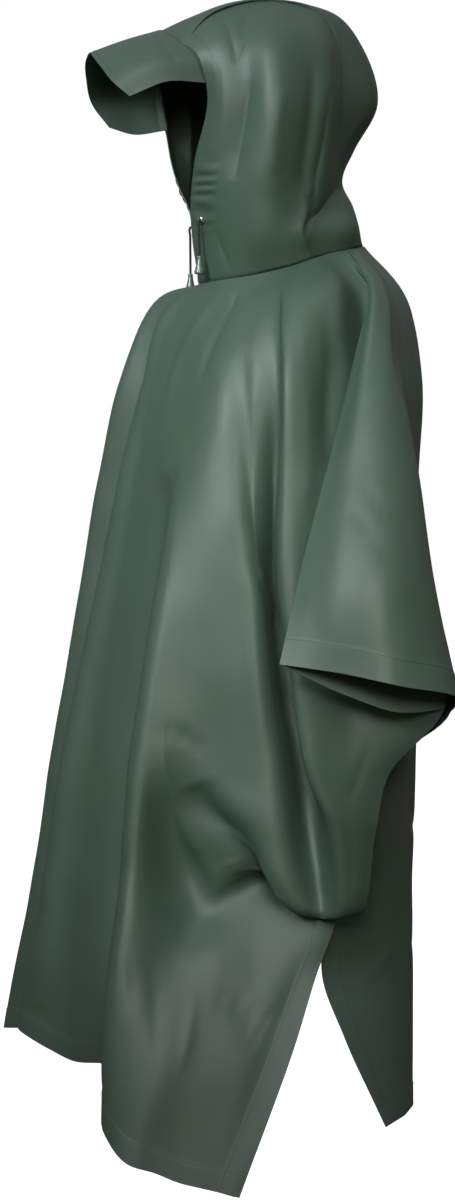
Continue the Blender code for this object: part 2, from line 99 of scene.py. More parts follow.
# Front panel, wearer's left half.  Fold line: neck angle, then x, y, z in mm at
# yoke, chest, ribs, waist, cuff, hip, pouch, lip, tuck, thigh, skirt, hem.
FRONT_SLEEVE = {
    "sleeve front seam": (135, (
        (155, 77, -37), (211, 48, -135), (265, 8, -252), (309, -30, -364), (329, -54, -453))),
    "sleeve inside": (131, (
        (147, 80, -42), (201, 64, -139), (252, 44, -256), (300, 32, -371), (331, 20, -487))),
    "sleeve inside rear": (127, (
        (141, 84, -44), (193, 72, -140), (240, 62, -258), (287, 68, -372), (330, 74, -505))),
}
FRONT_BODY = {
    "sleeve valley and side edge": (122, (
        (139, 78, -45), (187, 75, -141), (228, 74, -257), (271, 94, -368), (317, 128, -501),
        (282, 72, -582), (276, 62, -636), (258, 46, -727), (242, 40, -711), (245, 14, -765),
        (279, -33, -880), (313, -95, -1019))),
    "front of arm": (108, (
        (176, 34, -45), (216, 22, -136), (241, 18, -257), (261, 24, -366), (279, 44, -486),
        (286, 32, -584), (284, 38, -638), (262, 38, -729), (243, 34, -711), (246, 4, -769),
        (277, -42, -881), (312, -104, -1017))),
    "arm ridge": (92, (
        (168, -20, -56), (228, -30, -136), (247, -34, -257), (263, -38, -365), (275, -30, -462),
        (284, -8, -580), (287, 14, -632), (264, 26, -731), (242, 24, -709), (246, -7, -773),
        (275, -56, -881), (310, -114, -1014))),
    "arm trough": (80, (
        (149, -22, -55), (176, -28, -140), (172, -33, -257), (177, -34, -368), (199, -22, -466),
        (222, -6, -586), (229, -3, -641), (250, 4, -730), (224, -4, -702), (244, -28, -775),
        (276, -76, -881), (307, -134, -1009))),
    "side of chest": (64, (
        (124, -45, -64), (166, -58, -145), (188, -57, -257), (203, -52, -367), (219, -47, -464),
        (237, -40, -585), (248, -33, -649), (250, -18, -724), (214, -30, -698), (238, -60, -776),
        (276, -104, -882), (303, -158, -1003))),
    "chest": (51, (
        (93, -71, -63), (141, -88, -145), (170, -95, -257), (189, -101, -368), (200, -105, -464),
        (209, -104, -580), (221, -96, -630), (226, -70, -676), (202, -78, -702), (235, -106, -779),
        (275, -140, -884), (298, -183, -993))),
    "pinch": (44, (
        (72, -84, -62), (123, -102, -149), (152, -118, -257), (175, -131, -368), (188, -140, -464),
        (196, -156, -570), (184, -146, -638), (182, -128, -698), (193, -120, -728), (229, -147, -782),
        (273, -180, -880), (293, -211, -984))),
    "front fold": (35, (
        (59, -94, -61), (101, -113, -149), (135, -132, -257), (162, -152, -368), (180, -166, -458),
        (196, -183, -570), (202, -191, -635), (210, -198, -694), (219, -203, -721), (238, -213, -787),
        (256, -223, -881), (265, -232, -960))),
    "front valley": (24, (
        (34, -107, -59), (49, -137, -147), (66, -156, -257), (75, -168, -370), (83, -178, -470),
        (91, -193, -581), (98, -201, -648), (107, -206, -709), (112, -209, -736), (125, -215, -795),
        (140, -216, -855), (151, -212, -912))),
    "front face": (13, (
        (14, -120, -60), (25, -150, -147), (31, -170, -257), (33, -188, -373), (35, -203, -474),
        (37, -222, -591), (40, -229, -666), (43, -238, -728), (44, -240, -751), (47, -246, -808),
        (48, -249, -865), (47, -252, -921))),
    "centre ridge": (5, (
        (-2, -131, -58), (2, -161, -146), (-2, -184, -257), (-6, -205, -374), (-9, -224, -477),
        (-13, -245, -586), (-15, -259, -666), (-17, -271, -736), (-18, -276, -760), (-20, -288, -813),
        (-22, -295, -857), (-23, -301, -897))),
    "centre valley": (0, (
        (-19, -122, -58), (-26, -144, -146), (-32, -163, -257), (-38, -179, -374), (-42, -196, -480),
        (-48, -215, -592), (-52, -228, -670), (-54, -240, -740), (-55, -243, -764), (-57, -252, -820),
        (-59, -258, -864), (-61, -264, -906))),
    "far centre ridge": (-7, (
        (-45, -127, -37), (-62, -179, -143), (-76, -203, -257), (-85, -222, -377), (-93, -239, -482),
        (-102, -260, -605), (-109, -270, -678), (-111, -281, -744), (-111, -285, -768),
        (-118, -296, -829), (-125, -304, -875), (-126, -311, -918))),
    "far valley": (-22, (
        (-50, -112, -62), (-76, -140, -147), (-100, -158, -257), (-118, -172, -372), (-128, -186, -474),
        (-138, -204, -586), (-146, -214, -655), (-152, -222, -716), (-156, -226, -742),
        (-166, -236, -800), (-178, -244, -862), (-190, -250, -925))),
}
CENTRE_LINES = ("centre valley", "far centre ridge", "far valley")
NEAR_ONLY = ("front valley", "front face", "centre ridge")

# Back panel, wearer's left half.  Same stations as the front panel.
BACK_SLEEVE = {
    "sleeve front edge": (136.5, (
        (157, 77, -36), (213, 48, -134), (267, 8, -251), (311, -30, -363), (331, -54, -452))),
    "sleeve outside": (139.5, (
        (170, 81, -40), (244, 57, -137), (303, 30, -252), (352, 8, -361), (367, 6, -460))),
    "sleeve outside rear": (143, (
        (163, 95, -43), (243, 76, -138), (311, 62, -252), (366, 53, -360), (391, 58, -471))),
    "sleeve back fold": (147, (
        (142, 104, -43), (220, 97, -136), (283, 105, -250), (326, 114, -364), (358, 132, -488))),
}
BACK_BODY = {
    "back valley and side edge": (151, (
        (131, 113, -50), (184, 112, -136), (222, 108, -252), (242, 106, -366), (311, 136, -505),
        (262, 45, -590), (250, 36, -645), (232, 22, -705), (230, 16, -735), (236, 9, -798),
        (252, 29, -862), (274, 73, -960))),
    "back side": (156, (
        (112, 126, -50), (150, 130, -133), (165, 128, -252), (180, 122, -368), (195, 125, -503),
        (190, 112, -600), (187, 108, -650), (180, 106, -710), (178, 106, -738), (180, 104, -800),
        (186, 108, -865), (196, 112, -965))),
    "back ridge": (162, (
        (95, 137, -49), (103, 152, -130), (117, 144, -257), (126, 139, -371), (126, 138, -509),
        (126, 138, -600), (126, 138, -655), (126, 137, -712), (126, 137, -740), (126, 137, -803),
        (126, 136, -865), (125, 135, -967))),
    "back valley": (171, (
        (50, 138, -46), (55, 146, -130), (60, 134, -257), (64, 126, -371), (64, 122, -509),
        (66, 120, -600), (66, 119, -655), (66, 118, -712), (66, 118, -740), (66, 117, -803),
        (66, 116, -865), (66, 115, -966))),
}
BACK_CENTRE = (
    180, ((0, 146, -44), (0, 156, -128), (0, 148, -256), (0, 143, -370), (0, 142, -508),
          (0, 141, -600), (0, 141, -655), (0, 140, -712), (0, 140, -740), (0, 140, -803),
          (0, 139, -865), (0, 138, -966)))

# Last stations (tuck, thigh, skirt, hem) of the wearer's right back panel where they differ.
FAR_VENT = {
    "back valley and side edge": ((-232, 26, -735), (-232, 48, -800), (-220, 106, -868), (-192, 140, -960)),
    "back side": ((-180, 108, -738), (-178, 112, -802), (-172, 122, -868), (-158, 142, -963)),
}

# Hood side panel, wearer's left.  Line: neck angle, then x, y, z in mm at
# throat, jaw, nape, cheek, temple, brow, crown.
HOOD_SIDE = {
    "face edge": (3, (
        (13, -101, 26), (27, -105, 63), (37, -105, 86), (48, -104, 108), (79, -95, 195), (77, -107, 228),
        (57, -122, 247))),
    "casing": (27, (
        (51, -83, 24), (66, -85, 65), (75, -85, 88), (82, -83, 110), (97, -79, 193), (88, -82, 240),
        (57, -90, 281))),
    "front trough": (49, (
        (78, -63, 21), (89, -66, 67), (94, -65, 89), (99, -61, 118), (108, -53, 181), (101, -52, 239),
        (57, -52, 296))),
    "middle": (74, (
        (106, -30, 19), (116, -32, 65), (122, -31, 90), (126, -30, 117), (130, -28, 178),
        (117, -26, 237), (57, -10, 300))),
    "rear trough": (92, (
        (107, 0, 24), (105, 10, 58), (108, 12, 88), (112, 15, 119), (117, 19, 182), (105, 21, 238),
        (58, 22, 296))),
    "rear ridge": (98, (
        (105, 10, 27), (96, 31, 58), (98, 36, 89), (101, 40, 121), (105, 45, 184), (93, 44, 240),
        (59, 37, 291))),
    "rear seam": (104, (
        (100, 20, 28), (79, 42, 60), (58, 62, 91), (70, 62, 126), (80, 64, 182), (72, 62, 240),
        (60, 47, 284))),
}
FAR_DROOP = (0, 0, 0, 4, 33, 22, 3)     # mm the far face edge hangs lower, one per station
FAR_PULL = (7, 12, 8, 6, 0, 0, 0)       # mm the drawcord pulls the far face edge back
PULL_SHARES = {"face edge": 1.0, "casing": 0.8, "front trough": 0.4}

# Hood centre panel from the peak over the crown to the neck seam: side seam x, y, z,
# quarter point x, y, z, centre y, z in mm.
HOOD_CENTRE = (
    ((57, -122, 247), (32, -134, 261), (-139, 268)),
    ((57, -90, 281), (32, -93, 287), (-95, 289)),
    ((57, -52, 296), (32, -52, 301), (-52, 302)),
    ((57, -10, 300), (32, -10, 304), (-10, 305)),
    ((58, 22, 296), (34, 28, 300), (30, 301)),
    ((60, 47, 284), (40, 64, 286), (73, 288)),
    ((72, 62, 240), (46, 92, 246), (103, 250)),
    ((80, 64, 182), (52, 106, 184), (119, 187)),
    ((70, 62, 126), (42, 82, 129), (91, 131)),
    ((58, 62, 91), (32, 73, 94), (76, 96)),
    ((79, 42, 60), (56, 76, 62), (88, 64)),
    ((100, 20, 28), (70, 79, 29), (97, 32)),
)
CENTRE_NECK_ANGLES = (104, 141, 180)

# Peak from the wearer's left temple over the forehead to the right temple:
# point on the hood seam, point half way out, point on the front edge, in mm.
PEAK = (
    ((81, -96.8, 198), (85, -140, 198), (84, -184, 180)),
    ((79, -108.8, 229), (82, -152, 220), (79, -200, 194)),
    ((57, -123.8, 248), (54, -170, 240), (45, -213, 219)),
    ((32, -135.8, 262), (28, -179, 251), (22, -219, 233)),
    ((0, -140.8, 269), (0, -182, 256), (0, -221, 241)),
    ((-32, -146.8, 262), (-28, -184, 251), (-24, -223, 234)),
    ((-57, -141.8, 246), (-56, -182, 238), (-54, -219, 218)),
    ((-78, -132.8, 206), (-84, -172, 202), (-82, -209, 192)),
    ((-79, -125.8, 162), (-85, -158, 158), (-87, -188, 166)),
)

# Creases: fold-line number and station of each point, width and depth in mm and their edge.
# Depth is positive for a ridge and negative for a trough.
SOFT, CRISP = False, True
FRONT_CREASES = (
    (((7.4, 1.6), (7.2, 2.6), (7.05, 3.4), (6.9, 4.0)), 16, -9.0, SOFT),
    (((7.35, 3.8), (7.3, 4.45), (7.25, 5.2), (7.2, 5.65)), 10, 3.0, SOFT),
    (((7.25, 3.75), (7.0, 4.0), (6.6, 4.25)), 5, -3.0, CRISP),
    (((6.6, 3.7), (6.3, 4.0), (6.2, 4.2)), 5, -2.5, CRISP),
    (((6.1, 4.3), (6.15, 5.4), (6.05, 6.4), (5.9, 7.5)), 14, -14.0, CRISP),
    (((4.95, 4.9), (5.0, 5.7), (5.0, 6.4), (4.75, 7.4)), 10, 6.0, CRISP),
    (((4.2, 1.15), (3.95, 1.9), (4.0, 2.45), (3.9, 3.0)), 13, -6.0, SOFT),
    (((4.6, 1.05), (4.5, 2.1), (4.45, 2.75), (4.55, 3.4)), 9, 3.0, CRISP),
    (((7.95, 0.45), (7.98, 0.75), (8.1, 1.05)), 6, -3.5, CRISP),
    (((9.25, 0.7), (10.3, 1.3), (10.8, 1.8), (10.8, 2.4)), 8, 3.0, CRISP),
    (((7.6, 0.7), (8.45, 1.35), (9.35, 1.8), (9.7, 2.0)), 8, -3.0, SOFT),
    (((10.5, 2.9), (10.6, 4.0), (10.7, 5.4), (10.8, 6.9), (10.9, 9.2), (10.9, 11.3)), 24, -26.0, SOFT),
    (((12.8, 2.4), (12.75, 4.0), (12.85, 5.4), (12.8, 6.8), (12.6, 9.2), (12.5, 11.3)), 18, 9.0, SOFT),
    (((9.15, 5.6), (8.65, 5.7), (8.2, 5.8)), 4, -3.0, CRISP),
    (((9.3, 5.7), (8.9, 6.6), (8.7, 7.55), (8.5, 9.3)), 12, 9.0, CRISP),
    (((8.5, 6.3), (8.15, 7.2), (7.9, 8.5)), 18, -16.0, SOFT),
    (((8.3, 7.2), (7.7, 7.8), (6.6, 8.0), (5.0, 8.0)), 9, 8.0, CRISP),
    (((8.3, 8.3), (7.4, 8.7), (6.4, 8.8), (5.2, 8.7)), 16, -13.0, SOFT),
    (((5.7, 7.3), (5.0, 7.35), (4.1, 7.4)), 4, -2.6, CRISP),
    (((5.6, 7.45), (5.05, 7.5), (4.25, 7.55)), 4, -2.6, CRISP),
    (((7.85, 10.35), (6.95, 10.5), (5.05, 10.7)), 7, -3.5, CRISP),
    (((7.35, 10.55), (6.25, 10.75), (4.65, 10.85)), 7, -3.0, CRISP),
    (((9.55, 9.75), (9.25, 10.4), (8.9, 11.2)), 6, -2.6, CRISP),
    (((9.95, 9.45), (9.75, 10.1), (9.6, 10.45)), 5, -2.0, CRISP),
    (((8.4, 10.3), (8.3, 10.7), (8.25, 11.05)), 7, 2.6, CRISP),
    (((3.7, 5.55), (3.8, 5.95), (4.1, 6.35)), 5, -2.0, CRISP),
)
BACK_CREASES = (
    (((1.35, 3.1), (2.0, 3.35), (2.75, 3.6)), 5, -2.4, CRISP),
    (((1.0, 3.3), (1.4, 3.45), (1.65, 3.6)), 5, -2.0, CRISP),
    (((1.5, 3.6), (2.1, 3.8), (2.7, 4.1)), 7, -2.0, CRISP),
    (((2.15, 1.0), (2.4, 1.75), (2.85, 2.3), (2.95, 3.3)), 7, 2.4, CRISP),
    (((4.55, 10.2), (4.8, 9.9), (5.0, 9.6)), 6, 2.0, CRISP),
    (((6.4, 1.2), (6.7, 2.4), (6.6, 3.9)), 14, -5.0, SOFT),
    (((7.6, 3.0), (7.4, 5.0), (7.5, 7.2)), 16, 5.0, SOFT),
    (((5.2, 6.2), (5.8, 6.9), (6.8, 7.3)), 7, -3.0, CRISP),
    (((6.2, 9.3), (5.7, 10.2), (5.6, 11.2)), 8, -3.0, CRISP),
)
HOOD_CREASES = (
    (((1.45, 6.65), (1.5, 6.05), (1.55, 5.55)), 5, -3.0, CRISP),
    (((2.2, 6.75), (1.85, 6.15), (1.55, 5.55)), 5, -3.0, CRISP),
    (((2.15, 5.3), (2.0, 4.75), (2.0, 4.2), (2.0, 2.85)), 6, -4.0, CRISP),
    (((5.0, 5.2), (4.85, 4.35), (4.7, 3.3), (4.7, 1.65)), 6, -3.0, CRISP),
    (((4.15, 5.75), (4.1, 4.9), (4.0, 4.0), (4.05, 1.9)), 8, -2.6, SOFT),
    (((3.3, 5.2), (3.1, 4.2), (3.2, 3.0)), 9, 2.0, SOFT),
    (((3.75, 2.7), (4.9, 1.25), (5.9, 0.35)), 7, 3.6, CRISP),
    (((4.5, 2.5), (5.3, 1.5), (5.9, 0.9)), 9, -4.0, SOFT),
    (((1.05, 1.25), (1.45, 0.7), (1.7, 0.2)), 4, -2.0, CRISP),
)
CENTRE_CREASES = (
    (((0.1, 6.4), (0.3, 6.7), (0.45, 6.95)), 4, 1.6, CRISP),
    (((1.0, 6.95), (0.6, 7.6), (0.3, 8.2)), 4, 1.6, CRISP),
    (((2.0, 6.2), (2.2, 7.4), (2.1, 8.6)), 8, -2.0, SOFT),
)
PEAK_CREASES = (
    (((2.95, 0.9), (1.8, 1.1), (1.25, 1.2)), 4, -1.4, CRISP),
    (((2.25, 0.4), (1.4, 0.5), (0.75, 0.6)), 4, -1.4, CRISP),
    (((4.3, 0.3), (4.8, 0.9), (5.2, 1.3)), 5, -1.4, CRISP),
)
MIRROR_LIMIT = 9.6          # creases past this fold line belong to the middle and aren't mirrored
MIRROR_DEPTH = 0.85         # the far side's creases are a little shallower
MIRROR_DRIFT = 0.08         # and lie up to this share of a station higher or lower
CREASE_POINTS = 80          # points along one crease
CREASE_FADE = 0.7           # how fast a crease dies out at its ends
CREASE_REACH = (1.6, 0.8)   # fold lines and stations past which a crease has no effect

# Flat cuts in metres: width, length and area of each sheet before it is sewn.
FRONT_CUT = (1.55, 1.12, 1.00)
BACK_CUT = (1.45, 1.03, 0.68)


# ---- curves and grids

def line_at(points, stops):
    """Cubic curve through the points, read at stops that count in points."""
    points = np.asarray(points, dtype=float)
    stops = np.asarray(stops, dtype=float)
    steps = np.linalg.norm(np.diff(points, axis=0), axis=1)[:, None]
    slopes = np.diff(points, axis=0) / steps
    inner = (slopes[:-1] * steps[1:] + slopes[1:] * steps[:-1]) / (steps[:-1] + steps[1:])
    tangents = np.vstack((slopes[:1], inner, slopes[-1:]))
    low = np.clip(np.floor(stops).astype(int), 0, len(steps) - 1)
    t = (stops - low)[:, None]
    return (points[low] * (2 * t**3 - 3 * t**2 + 1) + points[low + 1] * (3 * t**2 - 2 * t**3)
            + tangents[low] * steps[low] * (t**3 - 2 * t**2 + t)
            + tangents[low + 1] * steps[low] * (t**3 - t**2))


def neck_point(angle):
    """Point of the neck seam at an angle from the front centre, positive to the wearer's left."""
    near = [row[1:] for row in NECK]
    before = [(-x, y, z) for x, y, z in reversed(near[1:])]
    after = [(-near[-2][0], *near[-2][1:])]
    gap = NECK[1][0] - NECK[0][0]
    return line_at(before + near + after, [(angle + 180.0) / gap])[0]


def mirrored(line):
    return np.array([(-x, y, z) for x, y, z in line])


def fold_lines(table):
    return [np.vstack((neck_point(angle), points)) for angle, points in table.values()]


def far_vent(name, line):
    line = mirrored(line)
    if name in FAR_VENT:
        line[-len(FAR_VENT[name]):] = FAR_VENT[name]
    return line


def unit(vectors):
    return vectors / np.maximum(np.linalg.norm(vectors, axis=-1), 1e-12)[..., None]


class Sheet:
    """A grid of points in mm with the fold-line number and station of each column and row."""

    def __init__(self, grid, u, v):
        self.grid = grid
        self.u = np.asarray(u, dtype=float)
        self.v = np.asarray(v, dtype=float)
        self.filled = ~np.isnan(grid[:, :, 0])

    def normals(self):
        """Unit normals pointing out of the garment."""
        normal = unit(np.cross(difference(self.grid, 1), difference(self.grid, 0)))
        middle = np.nanmean(self.grid, axis=(0, 1))
        return -normal if np.nansum(normal * (self.grid - middle)) < 0 else normal

    def push(self, shift):
        """Move every point along its normal."""
        self.grid = self.grid + self.normals() * shift[..., None]

    def place(self, u, v):
        """Point of the sheet at a fold-line number and a station."""
        column = np.interp(u, self.u, np.arange(len(self.u)))
        row = np.interp(v, self.v, np.arange(len(self.v)))
        c = int(min(column, len(self.u) - 2))
        r = int(min(row, len(self.v) - 2))
        s, t = column - c, row - r
        g = self.grid
        return ((g[r, c] * (1 - s) + g[r, c + 1] * s) * (1 - t)
                + (g[r + 1, c] * (1 - s) + g[r + 1, c + 1] * s) * t)


def difference(grid, axis):
    """Central difference along an axis that falls back to one side at the edges."""
    grid = np.moveaxis(grid, axis, 0)
    gap = np.full_like(grid[:1], np.nan)
    after = np.vstack((grid[1:], gap))
    before = np.vstack((gap, grid[:-1]))
    after = np.where(np.isnan(after), grid, after)
    before = np.where(np.isnan(before), grid, before)
    return np.moveaxis(after - before, 0, axis)


def steps_between(count, per_gap, extra=()):
    """Even stops over a number of gaps, with some extra ones."""
    return np.unique(np.concatenate((np.linspace(0, count, count * per_gap + 1), extra)).round(5))


def sheet_of(lines, across, along):
    """Sheet without gaps through fold lines of equal length."""
    u = steps_between(len(lines) - 1, across)
    v = steps_between(len(lines[0]) - 1, along)
    columns = [line_at(line, v) for line in lines]
    return Sheet(np.array([line_at(row, u) for row in zip(*columns)]), u, v)


HEM_ROWS = (28.0, 26.0, 25.0, 23.5, 18.0, 11.0, 5.0, 1.5, 0.0)   # mm above the hem's edge
ROWS_ABOVE_HEM = 6          # rows between the last station and the hem's own rows
HEM_SAMPLES = 60            # points that measure the last gap of a fold line
CUFF_STOPS = (4.66, 4.7, 4.73, 4.78, 4.97)      # extra rows at the fold of the sleeve's hem


def column_points(line, stops, hemmed):
    """Points down one fold line; the last rows lie at fixed heights above the hem."""
    if not hemmed:
        return line_at(line, stops)
    last = len(line) - 2
    upper = line_at(line, stops[stops <= last])
    fine = np.linspace(last, last + 1, HEM_SAMPLES)
    track = line_at(line, fine)
    run = np.linalg.norm(np.diff(track, axis=0), axis=1)
    left = np.append(np.cumsum(run[::-1])[::-1], 0.0)
    band = np.interp(HEM_ROWS, left[::-1], fine[::-1])
    between = np.linspace(last, band[0], ROWS_ABOVE_HEM + 2)[1:-1]
    return np.vstack((upper, line_at(line, between), line_at(line, band)))


def panel_sheet(lines, sleeve_count, across, along):
    """Panel with sleeve columns at both sides that stop at the sleeve opening."""
    stations = len(lines[sleeve_count]) - 1
    stops = steps_between(stations, along, CUFF_STOPS)
    upper = stops[stops <= stations - 1]
    tail = len(HEM_ROWS) + ROWS_ABOVE_HEM
    v = np.concatenate((upper, stations - 1 + np.arange(1, tail + 1) / tail))
    u = steps_between(len(lines) - 1, across)
    sleeve_rows = int((upper <= CUFF_STATION).sum())
    body = slice(sleeve_count, len(lines) - sleeve_count)
    columns = [column_points(line, upper[:sleeve_rows], False) for line in lines]
    columns[body] = [column_points(line, stops, True) for line in lines[body]]
    grid = np.full((len(v), len(u), 3), np.nan)
    inside = (u >= sleeve_count) & (u <= len(lines) - 1 - sleeve_count)
    for row in range(len(v)):
        if row < sleeve_rows:
            grid[row] = line_at([c[row] for c in columns], u)
        else:
            grid[row, inside] = line_at([c[row] for c in columns[body]], u[inside] - sleeve_count)
    return Sheet(grid, u, v)


# ---- shaping

def soft_step(x):
    x = np.clip(x, 0.0, 1.0)
    return x * x * (3 - 2 * x)


def add_creases(sheet, table, flip=None):
    """Press troughs and ridges into a sheet; flip mirrors them about a fold-line number."""
    shift = np.zeros(sheet.grid.shape[:2])
    for path, width, depth, crisp in table:
        path = np.array(path, dtype=float)
        if flip is not None:
            if path[:, 0].max() > MIRROR_LIMIT:
                continue
            path[:, 0] = flip - path[:, 0]
            path[:, 1] += MIRROR_DRIFT * math.sin(3.0 * path[0, 1])
            depth = depth * MIRROR_DEPTH
        route = line_at(path, np.linspace(0, len(path) - 1, CREASE_POINTS))
        track = np.array([sheet.place(a, b) for a, b in route])
        fade = np.sin(np.pi * np.linspace(0.0, 1.0, len(track))) ** CREASE_FADE
        off_u, off_v = (np.abs(stops - np.clip(stops, way.min(), way.max()))
                        for stops, way in ((sheet.u, route[:, 0]), (sheet.v, route[:, 1])))
        near = (off_u < CREASE_REACH[0])[None, :] & (off_v < CREASE_REACH[1])[:, None] & sheet.filled
        points = sheet.grid[near]
        gaps = np.linalg.norm(points[:, None] - track[None], axis=2)
        closest = gaps.argmin(axis=1)
        reach = gaps[np.arange(len(points)), closest] / width
        profile = np.exp(-reach) if crisp else np.exp(-reach ** 2)
        shift[near] += depth * fade[closest] * profile
    sheet.push(shift)


def add_waves(sheet, size, height, seed, stretch=2.6):
    """Slow uneven waves, longer down the cloth than across it."""
    shift = np.zeros(sheet.grid.shape[:2])
    for row, column in zip(*np.nonzero(sheet.filled)):
        x, y, z = sheet.grid[row, column]
        shift[row, column] = noise.noise(Vector((x / size + seed, y / size, z / size / stretch)))
    sheet.push(shift * height)


def run_from(grid, axis, start):
    """Length in mm from an edge along an axis; start is first or last."""
    grid = np.moveaxis(grid, axis, 0)
    if start == "last":
        grid = grid[::-1]
    run = np.zeros(grid.shape[:2])
    for index in range(1, len(grid)):
        step = np.linalg.norm(grid[index] - grid[index - 1], axis=1)
        run[index] = np.where(np.isnan(step), 0.0, run[index - 1] + step)
        run[index, np.isnan(grid[index, :, 0])] = np.nan
    if start == "last":
        run = run[::-1]
    return np.moveaxis(run, 0, axis)


def hem_lift(distance, width):
    """Rise of the cloth over a turned hem, in mm, with a short slope at its inner edge."""
    return HEM_LIFT * soft_step((width - distance) / HEM_SLOPE)


# ---- meshes

def link(name, mesh, surfaces):
    """Object of a mesh on the part's only body, with its materials."""
    made = bpy.data.objects.new(name, mesh)
    bpy.context.collection.objects.link(made)
    for surface in surfaces:
        mesh.materials.append(surface)
    mesh.shade_smooth()
    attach(made, ROOT)
    return made


def mean_run(grid, axis):
    """Length along an axis at each column or row, as the mean over the filled ones."""
    steps = np.nan_to_num(np.linalg.norm(np.diff(grid, axis=axis), axis=2), nan=0.0)
    other = 1 - axis
    return np.append(0.0, np.cumsum(steps.sum(axis=other) / np.maximum((steps > 0).sum(axis=other), 1)))


def cloth_piece(name, sheet, surfaces, half=CLOTH_HALF, lift=None):
    """Thin closed shell of a sheet: outer face, inner face and rim."""
    grid, filled = sheet.grid, sheet.filled
    normal = sheet.normals()
    proud = np.broadcast_to(half + (0.0 if lift is None else lift), filled.shape)
    outer = (grid + normal * proud[..., None])[filled]
    inner = (grid - normal * half)[filled]
    count = len(outer)
    index = -np.ones(filled.shape, dtype=int)
    index[filled] = np.arange(count)
    corners = (index[:-1, :-1], index[:-1, 1:], index[1:, 1:], index[1:, :-1])
    quads = np.stack([corner.ravel() for corner in corners], axis=1)
    quads = quads[(quads >= 0).all(axis=1)]
    first = quads[len(quads) // 2]
    ahead = np.cross(outer[first[1]] - outer[first[0]], outer[first[3]] - outer[first[0]])
    if np.dot(ahead, normal[filled][first[0]]) < 0:
        quads = quads[:, ::-1]
    edges = np.concatenate([quads[:, [i, (i + 1) % 4]] for i in range(4)])
    seen = {tuple(edge) for edge in edges.tolist()}
    rim = [(j, i, i + count, j + count) for i, j in seen if (j, i) not in seen]
    faces = quads.tolist() + (quads[:, ::-1] + count).tolist() + rim
    mesh = bpy.data.meshes.new(name)
    mesh.from_pydata((np.vstack((outer, inner)) * MM).tolist(), [], faces)
    mesh.validate()
    flat = np.stack(np.meshgrid(mean_run(grid, 1), mean_run(grid, 0)), axis=2)[filled] * MM
    flat = np.vstack((flat, flat))
    layer = mesh.uv_layers.new(name="cloth")
    loops = np.empty(len(mesh.loops), dtype=np.int64)
    mesh.loops.foreach_get("vertex_index", loops)
    layer.data.foreach_set("uv", flat[loops].astype(np.float32).ravel())
    made = link(name, mesh, surfaces)
    slots = np.zeros(len(mesh.polygons), dtype=np.int32)
    slots[len(quads):2 * len(quads)] = len(surfaces) - 1
    mesh.polygons.foreach_set("material_index", slots)
    mesh.set_sharp_from_angle(angle=math.radians(SHARP_CLOTH))
    return made


def tucked(sheet, edge, reach, sink):
    """The sheet with a seam allowance beyond one edge, sunk behind the neighbour."""
    axis = 0 if edge in ("top", "bottom") else 1
    grid, out = (np.moveaxis(part, axis, 0) for part in (sheet.grid, sheet.normals()))
    stops = (sheet.v, sheet.u)[axis]
    late = edge in ("bottom", "right")
    if late:
        grid, out, stops = grid[::-1], out[::-1], -stops[::-1]
    onward = unit(grid[0] - grid[1])
    added = [grid[0] + onward * step - out[0] * sink for step in (reach, 1.0)]
    grid = np.concatenate((added, grid))
    stops = np.append(stops[0] - (0.02, 0.01), stops)
    if late:
        grid, stops = grid[::-1], -stops[::-1]
    grid = np.moveaxis(grid, 0, axis)
    return Sheet(grid, *((stops, sheet.v) if axis else (sheet.u, stops)))


# ---- stitches

def stitch_path(sheet, distance, level, axis, lift):
    """Points where the length from an edge reaches a level, pushed out of the cloth."""
    grid = np.moveaxis(sheet.grid + sheet.normals() * lift, axis, 0)
    away = np.moveaxis(distance, axis, 0)
    path = []
    for points, run in zip(np.swapaxes(grid, 0, 1), away.T):
        ok = ~np.isnan(run)
        if ok.sum() < 2 or run[ok].max() < level or run[ok].min() > level:
            path.append(None)
            continue
        order = np.argsort(run[ok])
        path.append(np.array([np.interp(level, run[ok][order], points[ok][order, i]) for i in range(3)]))
    return path


def split_runs(path):
    """Unbroken stretches of a path."""
    runs = [[]]
    for point in path:
        if point is None or (runs[-1] and np.linalg.norm(point - runs[-1][-1]) > LONGEST_GAP):
            runs.append([])
        if point is not None:
            runs[-1].append(point)
    return [np.array(run) for run in runs if len(run) > 2]


def ring(centre, side, rise, radius, count):
    """Points of a circle that two unit vectors span."""
    turns = [2 * math.pi * k / count for k in range(count)]
    return [centre + (side * math.cos(turn) + rise * math.sin(turn)) * radius for turn in turns]


def tube_faces(base, rings, sides):
    """Faces of a closed tube whose rings follow each other from vertex number base on."""
    faces = []
    for start in range(base, base + (rings - 1) * sides, sides):
        for k in range(sides):
            a, b = start + k, start + (k + 1) % sides
            faces.append((a, b, b + sides, a + sides))
    last = base + (rings - 1) * sides
    return faces + [tuple(base + k for k in reversed(range(sides))), tuple(range(last, last + sides))]


def tube_mesh(name, vertices, faces, flat=None):
    """Mesh with its normals out; flat is a place on the braid for each corner of each face."""
    mesh = bpy.data.meshes.new(name)
    mesh.from_pydata([tuple(v) for v in vertices], [], faces)
    if flat is not None:
        mesh.uv_layers.new(name="braid").data.foreach_set("uv", np.ravel(flat))
    mesh.validate()
    fix = bmesh.new()
    fix.from_mesh(mesh)
    bmesh.ops.recalc_face_normals(fix, faces=fix.faces)
    fix.to_mesh(mesh)
    fix.free()
    return mesh


